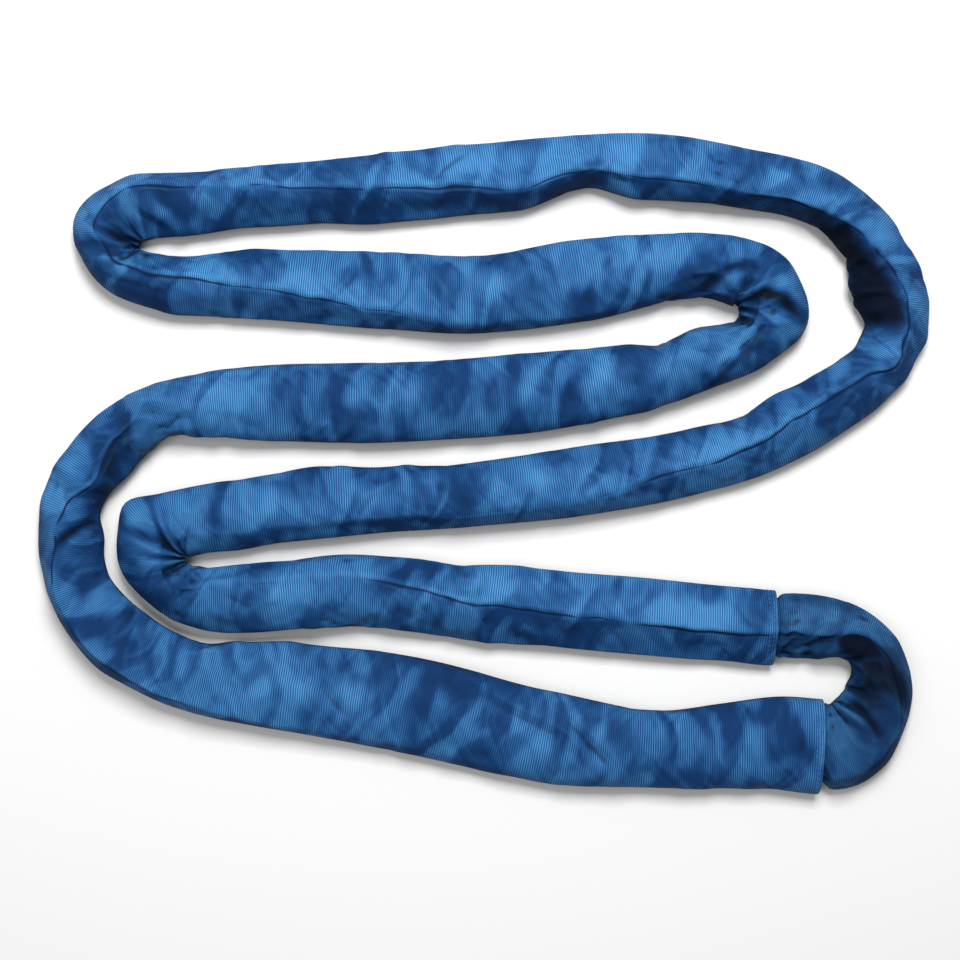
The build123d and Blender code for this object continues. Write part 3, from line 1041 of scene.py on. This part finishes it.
def yarn_turns(loop):
    """The hank's turns: side by side in rows inside the sleeves, closed end to start."""
    distance = np.linspace(0, loop.length, int(loop.length / (YARN_SPACING * MM)) + 1)
    heading = loop.heading(distance)
    heading[-1] = heading[0] = heading[0] + heading[-1]
    heading /= np.linalg.norm(heading, axis=1, keepdims=True)
    aside = np.stack([-heading[:, 1], heading[:, 0]], -1)
    left, right, height, *_ = loop.lie(distance)
    middle = loop.read(distance)
    widest = max(YARN_ROWS)
    meshes = []
    for row, count in enumerate(YARN_ROWS):
        for column in range(count):
            share = (column - (count - 1) / 2) / (widest / 2)
            room = np.minimum(left, right) - YARN_MARGIN
            half = np.minimum(room / widest * YARN_FILL, (height - YARN_HEADROOM) / YARN_STACK)
            rise = height * YARN_MIDDLE + (row - 1) * half * YARN_ROW_STEP
            turn = np.linspace(0, 2 * math.pi, YARN_AROUND, endpoint=False) - math.pi / 2
            sideways = share * room[:, None] - half[:, None] * np.cos(turn)
            up = rise[:, None] + half[:, None] * np.sin(turn)
            points = np.zeros((len(distance), YARN_AROUND, 3))
            points[..., :2] = middle[:, None] + aside[:, None] * (sideways * MM)[..., None]
            points[..., 2] = up * MM
            points[-1] = points[0]
            meshes.append(tube(f"yarn_turn_{len(meshes) + 1:02d}", points))
    return meshes


def stitch_row(name, ring, outward, heading):
    """A row of short thread stitches round a ring of the sleeve's points."""
    closed, outward = (np.concatenate([values, values[:1]]) for values in (ring, outward))
    run = np.r_[0, np.cumsum(np.linalg.norm(np.diff(closed, axis=0), axis=1))]
    count = int(run[-1] / (STITCH_SPACE * MM))
    bm = bmesh.new()
    for stitch in range(count):
        here, ahead = (run[-1] * ((stitch + part) / count % 1.0) for part in (0.35, 0.65))
        a, b = (np.array([np.interp(at, run, closed[:, axis]) for axis in range(3)]) for at in (here, ahead))
        lift = np.array([np.interp((here + ahead) / 2, run, outward[:, axis]) for axis in range(3)])
        along = (b - a) / max(np.linalg.norm(b - a), 1e-9)
        frame_axes = np.stack([along, heading, lift / max(np.linalg.norm(lift), 1e-9)], 1)
        size = np.diag([STITCH_LENGTH / 2, STITCH_THICKNESS / 2, STITCH_THICKNESS / 2]) * MM
        place = np.eye(4)
        place[:3, :3] = frame_axes @ size
        place[:3, 3] = (a + b) / 2 + lift * 0.1 * MM
        place[2, 3] = max(place[2, 3], STITCH_THICKNESS / 2 * MM)
        if np.linalg.det(place[:3, :3]) < 0:
            place[:3, 1] *= -1
        bmesh.ops.create_icosphere(bm, subdivisions=1, radius=1.0, matrix=Matrix(place.tolist()))
    mesh = bpy.data.meshes.new(name)
    bm.to_mesh(mesh)
    bm.free()
    mesh.shade_smooth()
    return mesh


def add(tree, kind, inputs=(), **settings):
    """A node with its settings and its inputs, each a value or another node's output."""
    node = tree.nodes.new(kind)
    set_all(node, settings)
    for socket, value in dict(inputs).items():
        if isinstance(value, bpy.types.NodeSocket):
            tree.links.new(value, node.inputs[socket])
        else:
            node.inputs[socket].default_value = value
    return node


def sum_of(tree, operation, *values):
    """A math node's output."""
    return add(tree, "ShaderNodeMath", enumerate(values), operation=operation).outputs[0]


def mixed(tree, share, first, second):
    """A colour between two, by a share."""
    return add(tree, "ShaderNodeMix", {0: share, 6: first, 7: second}, data_type="RGBA").outputs[2]


def ranged(tree, value, low, high, to_low=0.0, to_high=1.0):
    """A value moved smoothly from one range to another."""
    inputs = {"Value": value, "From Min": low, "From Max": high, "To Min": to_low, "To Max": to_high}
    return add(tree, "ShaderNodeMapRange", inputs, interpolation_type="SMOOTHSTEP").outputs[0]


def effect(name, inputs, outputs):
    """An empty node group with named inputs and outputs."""
    tree = bpy.data.node_groups.new(name, "ShaderNodeTree")
    for socket, value in inputs.items():
        kind = "NodeSocketVector" if value is None else "NodeSocketFloat"
        made = tree.interface.new_socket(socket, in_out="INPUT", socket_type=kind)
        if value is not None:
            made.default_value = value
    for socket in outputs:
        tree.interface.new_socket(socket, in_out="OUTPUT", socket_type="NodeSocketFloat")
    return tree, tree.nodes.new("NodeGroupInput").outputs, tree.nodes.new("NodeGroupOutput").inputs


def rolled_up(tree, weave, girth):
    """The weave map's along and around, and its place on the closed sleeve, so that patterns meet all round."""
    parts = add(tree, "ShaderNodeSeparateXYZ", {0: weave})
    radius = sum_of(tree, "DIVIDE", girth, math.tau)
    angle = sum_of(tree, "DIVIDE", parts.outputs[1], radius)
    level = sum_of(tree, "MULTIPLY", sum_of(tree, "COSINE", angle), radius)
    rise = sum_of(tree, "MULTIPLY", sum_of(tree, "SINE", angle), radius)
    return parts.outputs[0], parts.outputs[1], level, rise


def weave_effect():
    """Ribs across the sleeve and the threads that cross them, slightly uneven."""
    inputs = {"Weave": None, "Girth": SLEEVE_GIRTH}
    inputs |= {"Rib pitch": 0.0019, "Thread pitch": 0.0016, "Waviness": 0.0005}
    tree, given, made = effect("woven ribs", inputs, ("Ribs", "Threads", "Height"))
    along, around, level, rise = rolled_up(tree, given["Weave"], given["Girth"])
    place = add(tree, "ShaderNodeCombineXYZ", {0: along, 1: level, 2: rise}).outputs[0]
    drift = add(tree, "ShaderNodeTexNoise", {"Vector": place, "Scale": 70.0, "Detail": 2.0})
    swing = sum_of(tree, "MULTIPLY", sum_of(tree, "SUBTRACT", drift.outputs[0], 0.5), given["Waviness"])
    swing = sum_of(tree, "MULTIPLY", swing, 4.0)
    along = sum_of(tree, "ADD", along, swing)
    around = sum_of(tree, "ADD", around, swing)
    rib_turn = sum_of(tree, "MULTIPLY", sum_of(tree, "DIVIDE", along, given["Rib pitch"]), math.tau)
    ribs = sum_of(tree, "MULTIPLY_ADD", sum_of(tree, "SINE", rib_turn), 0.5, 0.5)
    thread_turn = sum_of(tree, "MULTIPLY", sum_of(tree, "DIVIDE", around, given["Thread pitch"]), math.tau)
    stagger = sum_of(tree, "MULTIPLY", rib_turn, 0.5)
    threads = sum_of(tree, "SINE", sum_of(tree, "ADD", thread_turn, stagger))
    threads = sum_of(tree, "MULTIPLY_ADD", threads, 0.5, 0.5)
    ribs = sum_of(tree, "POWER", ribs, 2.2)
    height = sum_of(tree, "MULTIPLY_ADD", threads, 0.35, sum_of(tree, "MULTIPLY", ribs, 0.65))
    for socket, value in (("Ribs", ribs), ("Threads", threads), ("Height", height)):
        tree.links.new(value, made[socket])
    return tree


def patch_effect():
    """Soft-edged patches where handling has laid the nap one way or the other; the cloth paints them paler or
    deeper, as painted sheen.
    """
    inputs = {"Weave": None, "Girth": SLEEVE_GIRTH, "Length": 0.03, "Width": 0.06, "Softness": 0.2, "Lean": 0.5}
    tree, given, made = effect("handled nap", inputs, ("Patch",))
    along, _, level, rise = rolled_up(tree, given["Weave"], given["Girth"])
    leaning = sum_of(tree, "MULTIPLY_ADD", level, given["Lean"], along)
    along = sum_of(tree, "DIVIDE", leaning, given["Length"])
    level, rise = (sum_of(tree, "DIVIDE", value, given["Width"]) for value in (level, rise))
    place = add(tree, "ShaderNodeCombineXYZ", {0: along, 1: level, 2: rise}).outputs[0]
    noise_inputs = {"Vector": place, "Scale": 1.0, "Detail": 2.2, "Roughness": 0.42, "Distortion": 0.9}
    cloud = add(tree, "ShaderNodeTexNoise", noise_inputs).outputs[0]
    half = sum_of(tree, "MULTIPLY", given["Softness"], 0.5)
    low, high = sum_of(tree, "SUBTRACT", 0.5, half), sum_of(tree, "ADD", 0.5, half)
    tree.links.new(ranged(tree, cloud, low, high), made["Patch"])
    return tree


def fibre_effect():
    """Fine fibres that make a thread's or a yarn's surface uneven."""
    tree, given, made = effect("spun fibres", {"Place": None, "Fineness": 900.0, "Length": 6.0}, ("Fibres",))
    parts = add(tree, "ShaderNodeSeparateXYZ", {0: given["Place"]})
    along = sum_of(tree, "DIVIDE", parts.outputs[0], given["Length"])
    place = add(tree, "ShaderNodeCombineXYZ", {0: along, 1: parts.outputs[1], 2: parts.outputs[2]}).outputs[0]
    noise = add(tree, "ShaderNodeTexNoise", {"Vector": place, "Scale": given["Fineness"], "Detail": 3.0})
    tree.links.new(noise.outputs[0], made["Fibres"])
    return tree


def use(tree, group, **inputs):
    """Places a group in a material, with its inputs (spaces written as underscores)."""
    node = tree.nodes.new("ShaderNodeGroup")
    node.node_tree = group
    for socket, value in inputs.items():
        socket = node.inputs[socket.replace("_", " ")]
        if isinstance(value, bpy.types.NodeSocket):
            tree.links.new(value, socket)
        else:
            socket.default_value = value
    return node.outputs


def start_material(name, roughness, specular, sheen=0.0):
    """A material with its shader's uniform settings."""
    material = bpy.data.materials.new(name)
    material.use_nodes = True
    tree = material.node_tree
    shader = tree.nodes["Principled BSDF"].inputs
    shader["Roughness"].default_value = roughness
    shader["Specular IOR Level"].default_value = specular
    shader["Sheen Weight"].default_value = sheen
    shader["Sheen Roughness"].default_value = 0.45
    return material, tree, shader


# How much the broad and small patches of nap, painted as sheen, and the placed painted light and shade count,
# and the colour of the painted shadow in the deepest pockets
NAP_BASE, NAP_BROAD, NAP_SMALL, LIGHT_AND_SHADE_SHARE = 0.03, 0.42, 0.22, 0.5
POCKET_SHADOW = (0.0008, 0.0030, 0.0100, 1)


def woven_cloth(name, deep, middle, pale, glint, shade_navy, patch_size, rib_pitch):
    """The sleeve cloth: woven ribs with a painted glint where the nap lies flat, painted shade in its folds,
    between its ribs and on its steep sides, a painted highlight on sharp ridges, and the placed painted light
    and shade.
    """
    material, tree, shader = start_material(name, 0.6, 0.06)
    weave = add(tree, "ShaderNodeUVMap", uv_map="weave").outputs[0]
    ribs = use(tree, WEAVE, Weave=weave, Rib_pitch=rib_pitch)
    broad = use(tree, NAP, Weave=weave, Length=patch_size[0], Width=patch_size[1], Softness=0.24)["Patch"]
    small = use(tree, NAP, Weave=weave, Length=0.014, Width=0.03, Softness=0.5, Lean=-0.8)["Patch"]
    light_and_shade, fold_shading, flank_shade = (
        add(tree, "ShaderNodeAttribute", attribute_name=shade).outputs["Fac"]
        for shade in ("light_and_shade", "fold_shading", "flank_shade")
    )
    # The nap value: random patches of nap, painted as sheen, plus the placed painted light and shade
    nap = sum_of(tree, "MULTIPLY_ADD", small, NAP_SMALL, sum_of(tree, "MULTIPLY", broad, NAP_BROAD))
    placed = sum_of(tree, "MULTIPLY", light_and_shade, LIGHT_AND_SHADE_SHARE)
    nap = sum_of(tree, "ADD", sum_of(tree, "ADD", nap, NAP_BASE), placed)
    # Painted light and shade: from the darkest blue of painted shade through deep and middle blue to pale, by
    # the nap value
    body = mixed(tree, ranged(tree, nap, -0.45, 0.05), shade_navy, deep)
    body = mixed(tree, ranged(tree, nap, 0.0, 0.5), body, middle)
    body = mixed(tree, ranged(tree, nap, 0.4, 1.0), body, pale)
    # Painted glint on the rib tops, stronger where the cloth is painted paler
    shine = ranged(tree, nap, 0.0, 0.9, 0.02, 0.78)
    body = mixed(tree, sum_of(tree, "MULTIPLY", ribs["Ribs"], shine), body, glint)
    # Painted shade between the ribs
    rib_gap_shade = sum_of(tree, "MULTIPLY", ranged(tree, ribs["Height"], 0.3, 0.0), 0.3)
    body = mixed(tree, rib_gap_shade, body, shade_navy)
    # Painted shade on the steep sides
    body = mixed(tree, ranged(tree, flank_shade, 0.25, 1.0, 0.0, 0.8), body, shade_navy)
    # Painted shade in folds and along the crease's line, and a painted highlight on sharp ridges
    body = mixed(tree, ranged(tree, fold_shading, 0.15, 0.85, 0.0, 0.85), body, shade_navy)
    body = mixed(tree, ranged(tree, fold_shading, -0.3, -0.95, 0.0, 0.07), body, glint)
    # Painted shadow, nearly black, where the placed painted shade is deepest
    body = mixed(tree, ranged(tree, light_and_shade, -0.55, -1.9, 0.0, 0.93), body, POCKET_SHADOW)
    tree.links.new(body, shader["Base Color"])
    tree.links.new(ranged(tree, nap, 0.0, 1.0, 0.75, 0.5), shader["Roughness"])
    bump = add(tree, "ShaderNodeBump", {"Height": ribs["Height"], "Distance": 0.0003, "Strength": 0.5})
    tree.links.new(bump.outputs[0], shader["Normal"])
    return material


def spun(name, dark, light, fineness, roughness):
    """Yarn, thread or tape with fine fibres, read from its place."""
    material, tree, shader = start_material(name, roughness, 0.3, 0.2)
    place = add(tree, "ShaderNodeTexCoord").outputs["Object"]
    fibres = use(tree, FIBRES, Place=place, Fineness=fineness)["Fibres"]
    tree.links.new(mixed(tree, ranged(tree, fibres, 0.3, 0.7), dark, light), shader["Base Color"])
    bump = add(tree, "ShaderNodeBump", {"Height": fibres, "Distance": 0.0003, "Strength": 0.6})
    tree.links.new(bump.outputs[0], shader["Normal"])
    return material


WEAVE, NAP, FIBRES = weave_effect(), patch_effect(), fibre_effect()
# Each cloth's darkest blue is the colour of its painted shade
sleeve_cloth = woven_cloth(
    "sleeve_fabric",
    deep=(0.0030, 0.024, 0.090, 1),
    middle=(0.0060, 0.047, 0.165, 1),
    pale=(0.0160, 0.092, 0.262, 1),
    glint=(0.080, 0.275, 0.480, 1),
    shade_navy=(0.0014, 0.0070, 0.024, 1),
    patch_size=(0.030, 0.075),
    rib_pitch=0.0019,
)
joint_cloth = woven_cloth(
    "joint_fabric",
    deep=(0.0030, 0.0205, 0.070, 1),
    middle=(0.0050, 0.033, 0.110, 1),
    pale=(0.0088, 0.054, 0.158, 1),
    glint=(0.046, 0.170, 0.320, 1),
    shade_navy=(0.0013, 0.0062, 0.020, 1),
    patch_size=(0.034, 0.060),
    rib_pitch=0.0019,
)
core_yarn = spun("core_yarn", (0.62, 0.61, 0.57, 1), (0.84, 0.83, 0.80, 1), 700.0, 0.55)
stitch_thread = spun("stitch_thread", (0.012, 0.050, 0.14, 1), (0.028, 0.105, 0.27, 1), 1500.0, 0.6)
tape = spun("tape", (0.60, 0.56, 0.40, 1), (0.76, 0.71, 0.56, 1), 350.0, 0.4)

def seen_as(mesh, material, node):
    """Shows a finished mesh in its material, in the place of a node, and returns the piece."""
    mesh.materials.append(material)
    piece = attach(show(mesh), "root")
    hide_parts(node)
    return piece


main_line = Centreline(MAIN_START, MAIN_CORNERS, MAIN_END, MAIN_SHAPE)
joint_line = Centreline(JOINT_START, JOINT_CORNERS, JOINT_END, JOINT_SHAPE)
main_net, joint_net = Net("main", main_line, 0.0), Net("joint", joint_line, JOINT_LIFT)
settle([main_net, joint_net])

hidden = joint_line.nearest(MAIN_END), joint_line.nearest(MAIN_START)
main_mesh, main_points = finish_sleeve("main_sleeve_cloth", main_net, MAIN_FINE_SPACING, seed=7)
joint_mesh, _ = finish_sleeve("joint_sleeve_cloth", joint_net, JOINT_FINE_SPACING, seed=19, hidden=hidden)
main_sleeve = seen_as(main_mesh, sleeve_cloth, "main_sleeve")
joint_sleeve = seen_as(joint_mesh, joint_cloth, "joint_sleeve")

# The hank inside, slimmer where the sleeves overlap, and the tape round it
seam = (22, 22, 26, 0.20, 0.9)
loop_shape = [("start", *seam), (0, *seam), *MAIN_SHAPE[2:-2], (56, *seam), *JOINT_SHAPE[2:-2], ("end", *seam)]
loop = Centreline(MAIN_START, list(range(len(ROUTE))), MAIN_START, loop_shape)
for number, mesh in enumerate(yarn_turns(loop), start=1):
    seen_as(mesh, core_yarn, f"core_turn_{number:02d}")
tape_span = main_line.nearest(TAPE_PLACE) + np.linspace(-TAPE_HALF, TAPE_HALF, 9) * MM
tape_points, _ = net(main_line, tape_span, 40, inset=4.5, lift=2.5, follow_crease=False)
seen_as(tube("yarn_end_tape_band", tape_points), tape, "yarn_end_tape")

# Stitch rows through both cloths by the ends of the main sleeve
outward = normals_of(main_points)
for name, from_edge in STITCH_ROWS.items():
    ring = int(round(abs(from_edge) / MAIN_FINE_SPACING))
    ring = ring if from_edge > 0 else len(main_points) - 1 - ring
    ahead, behind = min(ring + 1, len(main_points) - 1), max(ring - 1, 0)
    heading = main_points[ahead].mean(0) - main_points[behind].mean(0)
    mesh = stitch_row(name + "_thread", main_points[ring], outward[ring], heading / np.linalg.norm(heading))
    seen_as(mesh, stitch_thread, name)

# Floor, lights and camera
bm = bmesh.new()
bmesh.ops.create_grid(bm, x_segments=1, y_segments=1, size=FLOOR_HALF)
floor_mesh = bpy.data.meshes.new("floor")
bm.to_mesh(floor_mesh)
bm.free()
floor_paint, _, floor_shader = start_material("floor_paint", 0.9, 0.1)
floor_shader["Base Color"].default_value = (0.62, 0.62, 0.62, 1)
floor_mesh.materials.append(floor_paint)
floor = show(floor_mesh)
floor.location.z = -0.0002


def lamp(name, place, aim, size, power):
    """A soft square light aimed at a point."""
    light = bpy.data.lights.new(name, "AREA")
    light.size = size
    light.energy = power
    holder = bpy.data.objects.new(name, light)
    holder.location = place
    holder.rotation_euler = (Vector(aim) - Vector(place)).to_track_quat("-Z", "Y").to_euler()
    bpy.context.scene.collection.objects.link(holder)


lamp("key", (0.15, 1.05, 1.75), (0, 0, 0), 0.8, 62.0)
lamp("fill", (-0.9, -0.2, 1.9), (0, 0, 0), 1.2, 12.0)
world = bpy.data.worlds.new("studio")
world.use_nodes = True
background = world.node_tree.nodes["Background"].inputs
background["Color"].default_value = (1, 1, 1, 1)
background["Strength"].default_value = 0.38
scene = bpy.context.scene
scene.world = world
scene.view_settings.view_transform = "Standard"
camera = bpy.data.objects.new("camera", bpy.data.cameras.new("camera"))
camera.data.lens = CAMERA_LENS
camera.data.sensor_width = 36.0
camera.location = CAMERA_PLACE
scene.collection.objects.link(camera)
scene.camera = camera
